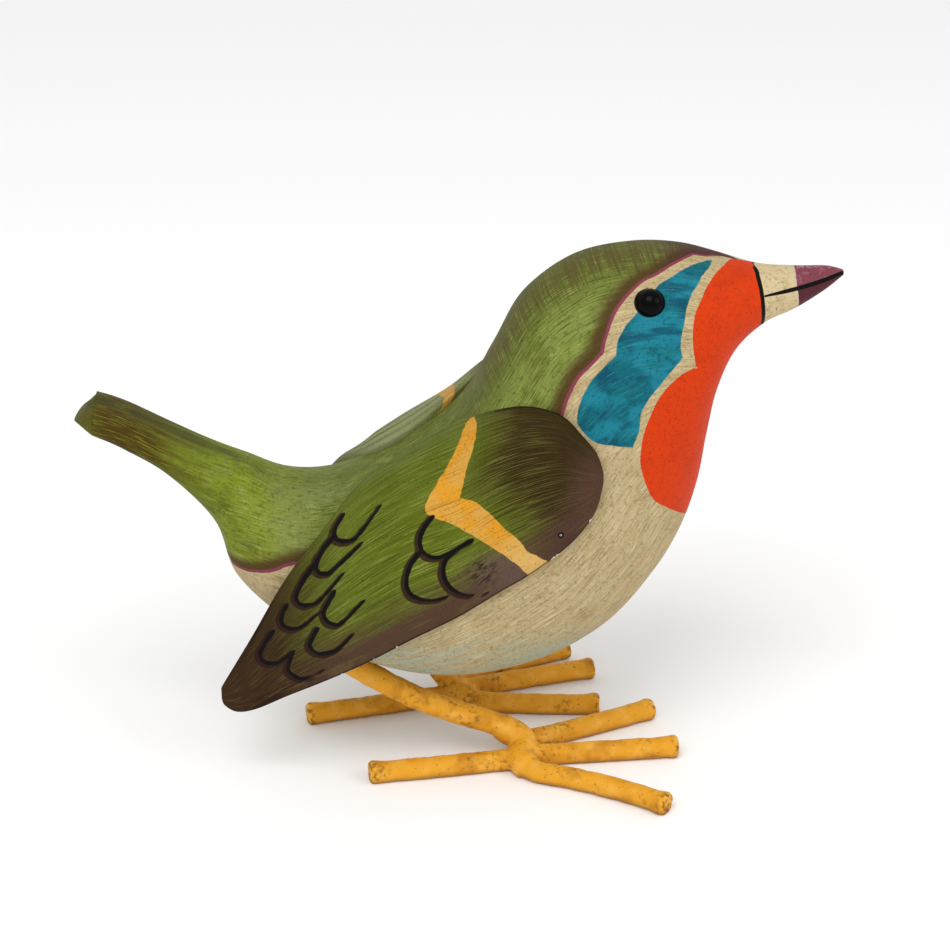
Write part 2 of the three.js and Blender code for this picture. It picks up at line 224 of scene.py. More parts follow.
SMUDGE = (3.6, 34.8)

# Half widths of the painted lines, in mm: the gape by its place along x,
# a feather stroke and its brown halo at their start, fullest place and end
GAPE_HALF_WIDTHS = [(58.9, 0.2), (63.5, 0.42), (72.0, 0.46), (75.2, 0.36)]
STROKE_STEPS = 10
STROKE_FULLEST = 0.6
STROKE_HALF_WIDTHS = (0.42, 0.46, 0.2)
HALO_SHIFT = (-0.45, -0.32)
HALO_HALF_WIDTHS = (0.68, 0.76, 0.35)

# The far side is painted a little differently: more cap and less bib over the brow, the wing bar set back
FAR_CAP_FROM = 38.0
FAR_CAP_RAMP = 6.0
FAR_CAP_WIDER = 3.0
FAR_BIB_RAMP = 2.0
FAR_BIB_NARROWER = 4.0
BROW_FROM = 96.0
FAR_BAR_SHIFT = -3.2
FAR_GRAIN = 40.0

# Chips along the wing's lower edge: place along x and size
EDGE_CHIPS = [(24.4, 0.35), (18.2, 0.25), (17.7, 0.3), (17.2, 0.3), (16.8, 0.2),
              (-13.0, 0.25), (-17.5, 0.25), (-24.0, 0.2)]

# Studio, in metres and watts
FLOOR_HALF = 4.0
ROOM_LIGHT = 0.74
LIT_PLACE = (0, 0, 0.05)
SOFTBOXES = [("key_softbox", (-0.35, -0.75, 1.25), 0.9, 10.0), ("fill_softbox", (0.9, -0.6, 0.7), 0.7, 3.0)]

# Camera at the photo's angle: its place in metres, its lens and sensor in mm
AZIMUTH = math.radians(-3)
ELEVATION = math.radians(24)
DISTANCE = 0.5
SENSOR_WIDTH = 36.0
LENS_LENGTH = 94.74
TARGET = Vector((3.5, MID_Y, 58.5)) * MM


# Smooth curves and closed skins

def smooth_rows(rows, steps):
    """Rows of numbers with a smooth curve through them, each gap cut into so many steps."""
    rows = np.asarray(rows, float)
    last = len(rows) - 1
    places = np.linspace(0, last, last * steps + 1)
    start = np.minimum(places.astype(int), last - 1)
    t = (places - start)[:, None]
    a, b = rows[np.maximum(start - 1, 0)], rows[start]
    c, d = rows[start + 1], rows[np.minimum(start + 2, last)]
    return b + 0.5 * t * (c - a + t * (2 * a - 5 * b + 4 * c - d + t * (3 * (b - c) + d - a)))


def skin_faces(rings, sides):
    """Four-sided faces round a row of rings, with a flat face on each end."""
    faces = []
    for r in range(rings - 1):
        for s in range(sides):
            n = (s + 1) % sides
            faces.append((r * sides + s, r * sides + n, (r + 1) * sides + n, (r + 1) * sides + s))
    faces.append(tuple(range(sides))[::-1])
    faces.append(tuple(range((rings - 1) * sides, rings * sides)))
    return faces


def powered(value, squareness):
    """A turn's sine or cosine, pushed outwards: 2 gives a round section, more a squarer one."""
    return np.sign(value) * np.abs(value) ** (2 / squareness)


def body_rings():
    """Points of the carved body, ring by ring, the length along it and the girth down from the back."""
    rows = smooth_rows(BODY_STATIONS, BODY_SLICES)
    turn = np.linspace(0, 2 * math.pi, BODY_SIDES, endpoint=False)
    back, belly = rows[:, None, 0:2], rows[:, None, 2:4]
    half, widest = rows[:, 4, None], rows[:, 5, None, None]
    middle = back + (belly - back) * widest
    above = (np.cos(turn) >= 0)[None, :]
    square = np.where(above, rows[:, 6, None], rows[:, 7, None])
    rise = np.abs(powered(np.cos(turn)[None, :], square))[:, :, None]
    side = powered(np.sin(turn)[None, :], square) * half
    across = middle + np.where(above[:, :, None], back - middle, belly - middle) * rise
    points = np.stack([across[:, :, 0], side, across[:, :, 1]], axis=2)
    step = np.linalg.norm(np.diff(middle[:, 0, :], axis=0), axis=1)
    along = np.concatenate([[0], np.cumsum(step)])
    hop = np.linalg.norm(np.diff(points[:, :BODY_SIDES // 2 + 1], axis=1), axis=2)
    down = np.concatenate([np.zeros((len(rows), 1)), np.cumsum(hop, axis=1)], axis=1)
    mirrored = np.concatenate([down, down[:, -2:0:-1]], axis=1)
    return points, np.repeat(along[:, None], BODY_SIDES, axis=1), mirrored


def wing_rings(shorter, wider):
    """Points of the right wing, ring by ring: outer face, rounded lower edge, inner face, top edge."""
    rows = smooth_rows(WING_STATIONS, WING_SLICES)
    reach = WING_FREE_FROM - WING_STATIONS[-1, 0]
    share = np.maximum(WING_FREE_FROM - rows[:, 0], 0) / reach

    def face(inset, count):
        turn = np.linspace(WING_FACE_ENDS, math.pi / 2 - WING_FACE_ENDS, count)[None, :]
        out = powered(np.sin(turn), WING_SQUARENESS)
        up = powered(np.cos(turn), WING_SQUARENESS)
        y = rows[:, 1, None] + (rows[:, 3, None] + inset - rows[:, 1, None]) * out
        z = rows[:, 4, None] + (rows[:, 2, None] - inset + rows[:, 6, None] * out - rows[:, 4, None]) * up
        return np.stack([y, z], axis=2)

    def corner(before, at, after):
        """A rounded turn between two points."""
        t = np.array(CORNER_STEPS)[None, :, None]
        return (1 - t) ** 2 * before[:, None] + 2 * t * (1 - t) * at[:, None] + t ** 2 * after[:, None]

    depth = rows[:, 5, None]
    outer = face(0, WING_FACE_POINTS)
    inner = face(depth, WING_INNER_POINTS)[:, ::-1]
    round_by = np.minimum(WING_EDGE_ROUND, depth[:, 0] / 3)
    low = np.stack([rows[:, 3], rows[:, 4]], axis=1)
    top = np.stack([rows[:, 1], rows[:, 2]], axis=1)
    under = low + np.stack([round_by, 0 * round_by], axis=1)
    above = top - np.stack([0 * round_by, round_by], axis=1)
    flat = np.concatenate([outer, corner(outer[:, -1], low, under), under[:, None], inner, above[:, None],
                           corner(above, top, outer[:, 0])], axis=1)
    x = np.repeat((rows[:, 0] + shorter * share)[:, None], flat.shape[1], axis=1)
    y = flat[:, :, 0] - (wider * share)[:, None]
    return np.stack([x, y, flat[:, :, 1]], axis=2)


# Outlines laid on the carved surface

def laid_on(curve, surface):
    """The drawn curve dropped onto the near side of a surface, in three dimensions."""
    laid = []
    for x, height in curve:
        start = np.array([x, 0.0, 0.0]) + height * VIEW_UP
        hit = surface.ray_cast(Vector(start - SIGHT_LENGTH * VIEW_IN), Vector(VIEW_IN))[0]
        if hit is None:
            middle = Vector((x, 0, height / VIEW_UP[2]))
            hit = surface.find_nearest(middle)[0]
            hit = hit if (hit - middle).length < NEAR_MISS else middle
        laid.append(hit)
    return np.array(laid)


def as_drawn(points):
    """Places as seen from where the outlines were drawn: x and the height in that view."""
    return np.stack([points[:, 0], points @ VIEW_UP], axis=1)


def near_side(points):
    """Both sides of the body carry the same marks, so the far side is folded onto the near one."""
    return points * [1, 0, 1] - np.abs(points) * [0, 1, 0]


def distance_to(points, curve, half_width=0.0):
    """Shortest distance of every point to a curve of short straight pieces, less its half width, in mm."""
    best = np.full(len(points), np.inf)
    widths = np.broadcast_to(half_width, len(curve))
    for a, b, width in zip(curve[:-1], curve[1:], widths):
        run = b - a
        share = np.clip((points - a) @ run / max(run @ run, TINY), 0, 1)
        best = np.minimum(best, np.linalg.norm(points - a - share[:, None] * run, axis=1) - width)
    return best


def within(places, curve):
    """True where a place of the drawing lies inside a closed curve."""
    x, z = places[:, 0], places[:, 1]
    inside = np.zeros(len(places), bool)
    for (ax, az), (bx, bz) in zip(curve, np.roll(curve, -1, axis=0)):
        if az != bz:
            inside ^= ((az > z) != (bz > z)) & (x < ax + (bx - ax) * (z - az) / (bz - az))
    return inside


def inside_by(points, edge, surface, rest=()):
    """Distance to the drawn edge of a patch, above zero inside it; the rest of its points close it."""
    laid = laid_on(smooth_rows(edge if len(rest) else edge + edge[:1], OUTLINE_STEPS), surface)
    closed = np.concatenate([as_drawn(laid), np.reshape(rest, (-1, 2))])
    return np.where(within(as_drawn(points), closed), 1, -1) * distance_to(points, laid)


# Pieces

def make_piece(name, points, faces, node, material, marks):
    """A smooth mesh piece with its painted marks, standing for a CAD node."""
    mesh = bpy.data.meshes.new(name)
    mesh.from_pydata((points * MM).tolist(), [], faces)
    mesh.update()
    mesh.polygons.foreach_set("use_smooth", [True] * len(mesh.polygons))
    for mark, values in marks.items():
        kind = "FLOAT_VECTOR" if values.ndim == 2 else "FLOAT"
        layer = mesh.attributes.new(mark, kind, "POINT")
        layer.data.foreach_set("vector" if values.ndim == 2 else "value", values.astype(np.float32).ravel())
    mesh.materials.append(material)
    piece = bpy.data.objects.new(name, mesh)
    bpy.context.scene.collection.objects.link(piece)
    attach(piece, "root")
    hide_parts(node)


# Materials

def paint(hex_colour):
    """A colour as seen on screen, turned to the linear light that the shaders use."""
    channels = [int(hex_colour[i:i + 2], 16) / 255 for i in (1, 3, 5)]
    return tuple(c / 12.92 if c <= 0.04045 else ((c + 0.055) / 1.055) ** 2.4 for c in channels) + (1.0,)


def add(tree, kind, inputs, out=None, **settings):
    """Adds a shader node with its settings and links and gives back one output."""
    node = tree.nodes.new("ShaderNode" + kind)
    for name, value in settings.items():
        setattr(node, name, value)
    for key, value in inputs.items():
        if isinstance(value, bpy.types.NodeSocket):
            tree.links.new(value, node.inputs[key])
        else:
            node.inputs[key].default_value = value
    if out is not None:
        return node.outputs[out]
    return next((o for o in node.outputs if o.enabled), None)


def mottle(tree, size, detail=3.0):
    """Patchy unevenness of so many mm, about one half on the whole."""
    place = add(tree, "TexCoord", {}, out="Object")
    return add(tree, "TexNoise", {"Vector": place, "Scale": 1 / (size * MM), "Detail": detail})


def streaks(tree, length, width, detail=2.0):
    """Brush streaks of a length along the piece and a width in mm, about one half on the whole."""
    grain = add(tree, "Attribute", {}, out="Vector", attribute_name="grain")
    drawn = add(tree, "Mapping", {"Vector": grain, "Scale": (1 / length, 1 / width, 1.0)})
    return add(tree, "TexNoise", {"Vector": drawn, "Scale": 1.0, "Detail": detail})


def cover(tree, reading, bare, full, strength=1.0, sway=0.0, by=None):
    """How far a coat covers, from nothing where a reading is bare to its strength where it is full.

    The reading is a pattern or the name of a painted mark in mm; it can sway by so much with a pattern."""
    if isinstance(reading, str):
        reading = add(tree, "Attribute", {}, out="Fac", attribute_name=reading)
    if by is not None:
        reading = add(tree, "Math", {0: by, 1: sway, 2: reading}, operation="MULTIPLY_ADD")
    ends = {"From Min": bare + sway / 2, "From Max": full + sway / 2, "To Max": strength}
    return add(tree, "MapRange", {"Value": reading, **ends}, interpolation_type="SMOOTHSTEP")


def coats(tree, under, *layers):
    """Paints laid one over the other, each with how far it covers."""
    for over, covering in layers:
        colours = [paint(c) if isinstance(c, str) else c for c in (under, over)]
        under = add(tree, "Mix", {0: covering, 6: colours[0], 7: colours[1]}, data_type="RGBA")
    return under


def new_material(name):
    """An empty material and its node tree."""
    material = bpy.data.materials.new(name)
    material.use_nodes = True
    material.node_tree.nodes.clear()
    return material, material.node_tree


def finish_surface(tree, colour, relief, depth, **look):
    """A film of this colour and look over a relief that is so many mm deep."""
    bump = add(tree, "Bump", {"Height": relief, "Distance": depth * MM, "Strength": 1.0})
    sockets = {name.replace("_", " "): value for name, value in look.items()}
    film = add(tree, "BsdfPrincipled", {"Base Color": colour, "Normal": bump, **sockets})
    add(tree, "OutputMaterial", {"Surface": film})


# Matt acrylic paint: its binder's index, and a film so broken up by filler that it gives back little sheen
MATT_PAINT = {"IOR": 1.49, "Roughness": 0.6, "Specular_IOR_Level": 0.1}
BLACK = "#060404"
DIRT = "#1c1308"

# Brush hairs leave lines of about 0.1 mm and paint has grit as fine, in mm
# Both are drawn coarser than they are, so that they show
BRUSH_LINE = 0.28
GRIT = 0.45
SPECK = 0.6


def painted_body():
    """Acrylic paint brushed on limewashed carved softwood: matt, with fine hair streaks along the body."""
    material, tree = new_material("acrylic_paint_on_carved_wood")
    fine = streaks(tree, 5.0, BRUSH_LINE, 3.0)
    broad = streaks(tree, 14.0, 1.4)
    teeth = streaks(tree, 0.3, 14.0)
    grit = mottle(tree, GRIT, 2.0)
    speck = mottle(tree, SPECK, 1.0)
    hand = mottle(tree, 3.0)
    cloud = mottle(tree, 6.0)
    rough = mottle(tree, 1.0, 4.0)

    low = cover(tree, "height", 38.0, 24.0, cover(tree, broad, 0.36, 0.6, 0.85))
    cream = coats(tree, "#b29e74",
                  ("#866f48", cover(tree, fine, 0.53, 0.67, 0.75)),
                  ("#bfac84", cover(tree, broad, 0.48, 0.7, 0.7)),
                  ("#d3c49f", cover(tree, fine, 0.46, 0.32, 0.65)),
                  ("#93a595", low),
                  ("#846d44", cover(tree, rough, 0.55, 0.7, 0.5)),
                  ("#6d5738", cover(tree, speck, 0.7, 0.78, 0.5)))

    neck = cover(tree, "forward", -2.0, 12.0, cover(tree, "ridge", 7.0, 17.0, 0.8, 8.0, broad))
    worn = cover(tree, rough, 0.85, 0.35, 0.55)
    bloom = cover(tree, "bloom", 15.0, 6.0, cover(tree, cloud, 0.28, 0.55, worn))
    rump = cover(tree, "forward", -26.0, -40.0, 0.9)
    tail = cover(tree, "forward", -46.0, -65.0, 1.0, 26.0, broad)
    spine = cover(tree, "forward", -34.0, -48.0, cover(tree, "ridge", 3.5, 0.5, 0.6, 2.0, fine))
    comb = cover(tree, teeth, 0.25, 0.6, 0.92)
    crown = cover(tree, "forward", -4.0, 8.0, cover(tree, "ridge", 12.0, 4.0, comb, -16.0, teeth))
    brow = cover(tree, "cap", 4.2, 1.5, 0.95, 1.4, broad)
    green = coats(tree, "#626c2b",
                  ("#7a841f", rump),
                  ("#7d8840", neck),
                  ("#535c18", cover(tree, cloud, 0.5, 0.66, 0.55)),
                  ("#7c8a3c", cover(tree, mottle(tree, 4.0), 0.54, 0.7, 0.6)),
                  ("#414b10", cover(tree, fine, 0.52, 0.68, 0.75)),
                  ("#98a152", cover(tree, fine, 0.46, 0.32, 0.6)),
                  ("#3d460e", cover(tree, rough, 0.53, 0.73, 0.5)),
                  ("#828a52", bloom),
                  ("#544a24", crown),
                  ("#5d6a1a", cover(tree, "forward", -43.0, -54.0, 0.45)),
                  ("#453509", tail),
                  ("#6f7018", cover(tree, "forward", -48.0, -60.0, cover(tree, fine, 0.52, 0.62, 0.8))),
                  ("#5c601c", cover(tree, "forward", -68.0, -73.0, 0.45, 4.0, rough)),
                  ("#363508", spine),
                  ("#4a3416", brow),
                  ("#45231f", cover(tree, "forward", 37.0, 47.0, 0.9, 5.0, broad)),
                  ("#83394d", cover(tree, "cap", 0.8, 0.5, 0.9, 0.4, hand)))
    colour = coats(tree, cream, (green, cover(tree, "cap", -0.06, 0.06, 1.0, 0.3, hand)))

    dab = streaks(tree, 9.0, 4.0, 2.0)
    teal = coats(tree, "#085f6d",
                 ("#187a8e", cover(tree, mottle(tree, 6.0, 1.0), 0.45, 0.6, 0.8)),
                 ("#04425a", cover(tree, dab, 0.52, 0.64, 0.72)),
                 ("#0b666c", cover(tree, dab, 0.45, 0.36, 0.7)),
                 ("#378788", cover(tree, fine, 0.51, 0.68, 0.45)),
                 ("#033a46", cover(tree, rough, 0.53, 0.7, 0.5)))
    red = coats(tree, "#cb3805",
                ("#b83206", cover(tree, mottle(tree, 6.0), 0.48, 0.7, 0.6)),
                ("#9a2b0a", cover(tree, rough, 0.52, 0.76, 0.42)))
    colour = coats(tree, colour,
                   (teal, cover(tree, "cheek", -0.1, 0.1, 1.0, 0.5, hand)),
                   (red, cover(tree, "bib", -0.06, 0.06, 1.0, 0.25, hand)),
                   (BLACK, cover(tree, "socket", 3.05, 2.85)))

    plum = coats(tree, "#783d47",
                 ("#93606a", cover(tree, mottle(tree, 1.4), 0.52, 0.68, 0.6)),
                 ("#4b2028", cover(tree, "gape", 0.5, -0.5, 0.9)),
                 ("#b79a94", cover(tree, "ridge", 1.0, 0.3, cover(tree, speck, 0.5, 0.6, 0.8))))
    horn = coats(tree, "#c6b48b",
                 ("#a8926a", cover(tree, mottle(tree, 1.2), 0.5, 0.7, 0.7)),
                 ("#5f4b2e", cover(tree, speck, 0.66, 0.74, 0.7)),
                 ("#c4afa4", cover(tree, "tip", -0.45, -0.2, 0.8, 0.3, hand)),
                 (plum, cover(tree, "tip", -0.06, 0.1, 1.0, 0.3, hand)),
                 (BLACK, cover(tree, "gape", -1.15, -0.85, cover(tree, "gape", 1.15, 0.85))))
    ring = cover(tree, "ring", -0.52, -0.4, cover(tree, "ring", 0.52, 0.4, 1.0, 0.3, hand), 0.3, hand)
    colour = coats(tree, colour, (horn, cover(tree, "ring", -0.06, 0.06)), (BLACK, ring))
    colour = coats(tree, colour, (DIRT, cover(tree, grit, 0.52, 0.76, 0.36)))

    relief = add(tree, "Math", {0: fine, 1: 0.7, 2: grit}, operation="MULTIPLY_ADD")
    finish_surface(tree, colour, relief, 0.1, **MATT_PAINT)
    return material


def painted_wing():
    """Acrylic paint dry-brushed over carved wood: matt, with long hair streaks that follow the wing."""
    material, tree = new_material("dry_brushed_acrylic_on_wood")
    fine = streaks(tree, 14.0, 0.35, 3.0)
    broad = streaks(tree, 26.0, 1.8)
    hair = streaks(tree, 9.0, BRUSH_LINE)
    grit = mottle(tree, GRIT, 2.0)
    hand = mottle(tree, 2.5)
    speck = mottle(tree, SPECK, 1.0)

    shoulder = cover(tree, "front", -3.0, 10.0, 0.97, 11.0, fine)
    mauve = cover(tree, "front", 1.0, 8.0, cover(tree, "height", 61.0, 51.0, 0.95, 8.0, broad))
    combed = cover(tree, hair, 0.54, 0.61, 0.85)
    glint = cover(tree, "front", 24.0, 2.0, cover(tree, "front", -1.0, 2.0, combed))
    hem = cover(tree, "hem", 11.0, 2.0, 0.95, 8.0, broad)
    dusk = cover(tree, "front", -16.0, -6.0, cover(tree, "hem", 11.0, 5.0, 0.9, 6.0, broad))
    tip = cover(tree, "tip", 44.0, 16.0, 1.0, 20.0, fine)
    smudge = cover(tree, "smudge", 4.5, 1.0, cover(tree, streaks(tree, 1.6, 0.4, 3.0), 0.48, 0.56, 0.85))
    colour = coats(tree, "#56600f",
                   ("#626e21", cover(tree, broad, 0.45, 0.66, 0.8)),
                   ("#39420c", cover(tree, fine, 0.5, 0.66, 0.8)),
                   ("#858e40", cover(tree, hair, 0.56, 0.63, 0.6)),
                   # Painted sheen: the far wing turns lighter and greyer, as light grazes it
                   ("#8b8d66", cover(tree, "far_wing_sheen", 0.0, 1.0, cover(tree, broad, 0.3, 0.6, 0.9))),
                   ("#2d1d03", shoulder),
                   ("#656329", glint),
                   ("#4c3327", hem),
                   ("#40262a", mauve),
                   ("#5d473e", cover(tree, "front", 1.0, -2.0, dusk)),
                   ("#35200d", tip),
                   ("#55491f", cover(tree, "tip", 40.0, 12.0, cover(tree, hair, 0.52, 0.62, 0.6))),
                   ("#1c1006", cover(tree, "tip", 44.0, 16.0, cover(tree, hair, 0.48, 0.38, 0.75))),
                   ("#5a4a2c", cover(tree, "hem", 14.0, 1.0, cover(tree, hair, 0.56, 0.68, 0.6))),
                   ("#20150d", smudge))

    gold = coats(tree, "#cf9024",
                 ("#c89a48", cover(tree, mottle(tree, 5.0), 0.42, 0.64, 0.8)),
                 ("#9c681c", cover(tree, fine, 0.52, 0.68, 0.75)),
                 ("#cba863", cover(tree, "hem", 11.0, 3.0, 0.8)),
                 # Painted sheen: the gold bar on the far wing turns lighter and greyer
                 ("#b08d52", cover(tree, "far_wing_sheen", 0.0, 1.0, 0.6)),
                 ("#8b601a", cover(tree, speck, 0.66, 0.76, 0.5)))
    colour = coats(tree, colour,
                   (gold, cover(tree, "bar", -0.08, 0.08, 1.0, 0.9, mottle(tree, 1.8))),
                   ("#2a120e", cover(tree, "halo", 0.15, -0.15, 0.92, 0.6, hand)),
                   (BLACK, cover(tree, "quill", 0.08, -0.08, 1.0, 0.4, hand)),
                   # Painted shadow: a thin dark line along the wing's front and lower edge, where it stands
                   # off the body
                   ("#160d08", cover(tree, "edge_shadow_line", 0.5, 0.15, 0.8)),
                   ("#120b08", cover(tree, "pin", 0.75, 0.55)),
                   ("#d8cebf", cover(tree, "pin", 0.32, 0.16, 0.9)),
                   ("#e9e2d4", cover(tree, "chips", 0.1, -0.05, 1.0, 0.6, mottle(tree, 0.8))),
                   (DIRT, cover(tree, grit, 0.52, 0.76, 0.36)))

    relief = add(tree, "Math", {0: fine, 1: 0.8, 2: grit}, operation="MULTIPLY_ADD")
    finish_surface(tree, colour, relief, 0.11, **MATT_PAINT)
    return material


def coated_wire():
    """Steel wire dipped in ochre enamel: thick, slightly lumpy coat with rubbed-in dirt, and painted shade
    on the undersides.
    """
    material, tree = new_material("dipped_enamel_on_steel_wire")
    dirt_and_shade_mottle = mottle(tree, 7.0, 2.0)
    rubbed = cover(tree, mottle(tree, 0.9, 4.0), 0.5, 0.6, 0.75)
    patches = cover(tree, dirt_and_shade_mottle, 0.5, 0.66, 0.75)
    colour = coats(tree, "#dd9b27",
                   ("#e8b04e", cover(tree, mottle(tree, 3.0, 4.0), 0.46, 0.72, 0.6)),
                   ("#b57419", cover(tree, mottle(tree, 5.0), 0.5, 0.7, 0.65)),
                   # Painted shade: darker brown on the lower sides of the wires, near the floor
                   ("#94621a", cover(tree, "height", 1.9, 0.2, 0.7, 1.6, dirt_and_shade_mottle)),
                   ("#5a3d14", cover(tree, "ends", 1.0, 0.0, rubbed)),
                   ("#7a5518", cover(tree, mottle(tree, 1.0, 5.0), 0.48, 0.66, patches)),
                   ("#4a3413", cover(tree, mottle(tree, 0.55, 1.0), 0.69, 0.76, 0.75)))
    relief = mottle(tree, 1.2, 4.0)
    finish_surface(tree, colour, relief, 0.12, IOR=1.5, Roughness=0.55, Specular_IOR_Level=0.15)
    return material


def black_bead():
    """Pressed glass bead, dulled by handling: smooth, black right through, with one soft highlight."""
    material, tree = new_material("pressed_black_glass")
    relief = mottle(tree, 1.5)
    finish_surface(tree, paint("#030303"), relief, 0.02, IOR=1.52, Roughness=0.2, Specular_IOR_Level=0.06)
    return material


def studio_floor():
    """Uncoated white paper: matt, with no sheen or shape of its own."""
    material, tree = new_material("matt_white_paper")
    finish_surface(tree, paint("#fafafa"), mottle(tree, 2.0), 0.01, IOR=1.45, Roughness=0.9)
    return material


# Build the body
rings, along, ridge = body_rings()
body_points = rings.reshape(-1, 3)
body_faces = skin_faces(rings.shape[0], BODY_SIDES)
body_surface = BVHTree.FromPolygons([Vector(p) for p in body_points], body_faces)

# The knife left its surface uneven, always a little under the full shape
round_run = np.roll(rings, -1, axis=1) - np.roll(rings, 1, axis=1)
outward = np.cross(np.gradient(rings, axis=0), round_run)
outward /= np.maximum(np.linalg.norm(outward, axis=2, keepdims=True), TINY)
from_core = rings - rings.mean(axis=1, keepdims=True)
outward *= np.sign((outward * from_core).sum(axis=2, keepdims=True))
carved = np.array([noise.noise(Vector(p) / CARVING_SIZE) for p in body_points])
thick = np.clip(np.linalg.norm(from_core, axis=2).reshape(-1) / THIN_END, 0, 1)
sunk = body_points - outward.reshape(-1, 3) * ((carved + 1) / 2 * CARVING_DEPTH * thick)[:, None]

# Both sides carry the same marks
folded = near_side(body_points)
gape_line = laid_on(smooth_rows(GAPE, OUTLINE_STEPS), body_surface)
drawn = as_drawn(folded)
gape_half = np.interp(folded[:, 0], *np.transpose(GAPE_HALF_WIDTHS))
above_gape = drawn[:, 1] > np.interp(drawn[:, 0], *np.transpose(GAPE))
body_marks = {
    "grain": np.stack([along.reshape(-1), ridge.reshape(-1), np.zeros(len(body_points))], axis=1),
    "ridge": ridge.reshape(-1),
    "forward": body_points[:, 0],
    "height": body_points[:, 2],
    "bloom": np.linalg.norm(folded - laid_on([RUMP_BLOOM], body_surface)[0], axis=1),
    "cap": inside_by(folded, CAP_EDGE, body_surface, CAP_REST),
    "cheek": inside_by(folded, CHEEK, body_surface),
    "bib": inside_by(folded, BIB_EDGE, body_surface, FRONT_REST),
    "socket": np.linalg.norm(folded - np.array(EYE_CENTRE) - [-SOCKET_BACK, 0, 0], axis=1),
    "ring": inside_by(folded, BEAK_RING, body_surface, FRONT_REST),
    "tip": inside_by(folded, BEAK_TIP, body_surface, FRONT_REST),
    "gape": np.where(above_gape, 1, -1) * distance_to(folded, gape_line) / gape_half,
}
fore = np.clip((body_points[:, 0] - FAR_CAP_FROM) / FAR_CAP_RAMP, 0, 1)
body_marks["cap"] += np.where(body_points[:, 1] > 0, FAR_CAP_WIDER * fore, 0)
on_brow = np.clip((body_points[:, 2] - BROW_FROM) / FAR_CAP_RAMP, 0, 1) * fore
body_marks["bib"] -= np.clip(body_points[:, 1] / FAR_BIB_RAMP, 0, 1) * FAR_BIB_NARROWER * on_brow
middle_shift = np.array([0.0, MID_Y, 0.0])
body_paint = painted_body()
make_piece("carved_body", sunk + middle_shift, body_faces, "body", body_paint, body_marks)

# Build the wings
right = wing_rings(0.0, 0.0)
left = wing_rings(LEFT_TIP_SHORTER, LEFT_TIP_WIDER) * [1, -1, 1]
wing_count, wing_sides = right.shape[:2]
wing_points = right.reshape(-1, 3)
wing_faces = skin_faces(wing_count, wing_sides)
wing_surface = BVHTree.FromPolygons([Vector(p) for p in wing_points], wing_faces)


def strokes_by(shift, half_widths):
    """Distance to the nearest feather stroke, less its half width at its start, fullest place and end."""
    nearest = []
    for stroke in FEATHER_STROKES:
        curve = laid_on(smooth_rows(stroke, STROKE_STEPS) + np.array(shift), wing_surface)
        widths = np.interp(np.linspace(0, 1, len(curve)), (0, STROKE_FULLEST, 1), half_widths)
        nearest.append(distance_to(wing_points, curve, widths))
    return np.min(nearest, axis=0)


spine = right[:, WING_FACE_POINTS // 2]
flow = np.concatenate([[0], np.cumsum(np.linalg.norm(np.diff(spine, axis=0), axis=1))])
face_share = np.interp(np.arange(wing_sides), (0, WING_FACE_POINTS), (0, 1))
lower_edge = right[:, WING_FACE_POINTS + len(CORNER_STEPS) - 1]
front_arc = right[:WING_SLICES * FRONT_STATIONS, 0][::-1]
from_front = lower_edge[::-1]
chips = []
for x, size in EDGE_CHIPS:
    place = np.array([np.interp(x, from_front[:, 0], from_front[:, axis]) for axis in range(3)])
    chips.append(np.linalg.norm(wing_points - place, axis=1) - size)
wing_marks = {
    "bar": inside_by(wing_points, WING_BAR, wing_surface),
    "front": inside_by(wing_points, BAR_INNER_SIDE, wing_surface, WING_FRONT_REST),
    "quill": strokes_by((0, 0), STROKE_HALF_WIDTHS),
    "halo": strokes_by(HALO_SHIFT, HALO_HALF_WIDTHS),
    "hem": distance_to(wing_points, lower_edge),
    "tip": np.repeat(flow[-1] - flow, wing_sides),
    "height": wing_points[:, 2],
    # Where the painted shadow line runs: along the front arc and the lower edge
    "edge_shadow_line": distance_to(wing_points, np.concatenate([front_arc, lower_edge])),
    "chips": np.min(chips, axis=0),
    "pin": np.linalg.norm(wing_points - laid_on([PIN_HOLE], wing_surface)[0], axis=1),
    "smudge": np.linalg.norm(wing_points - laid_on([SMUDGE], wing_surface)[0], axis=1),
}
far_bar = inside_by(wing_points, [(x + FAR_BAR_SHIFT, height) for x, height in WING_BAR], wing_surface)
wing_paint = painted_wing()
for name, points, far in (("wing_right", right, 0.0), ("wing_left", left, FAR_GRAIN)):
    grain = np.stack([np.repeat(flow, wing_sides), np.tile(face_share * WING_BREADTH, wing_count),
                      np.full(len(wing_points), far)], axis=1)
    faces = wing_faces if far == 0 else [face[::-1] for face in wing_faces]
    # The painted sheen is laid on the far wing only
    marks = {**wing_marks, "grain": grain, "far_wing_sheen": np.full(len(wing_points), far / FAR_GRAIN)}
    if far:
        marks["bar"] = far_bar
    places = points.reshape(-1, 3) + middle_shift
    make_piece("carved_" + name, places, faces, name, wing_paint, marks)


# Build the wire feet

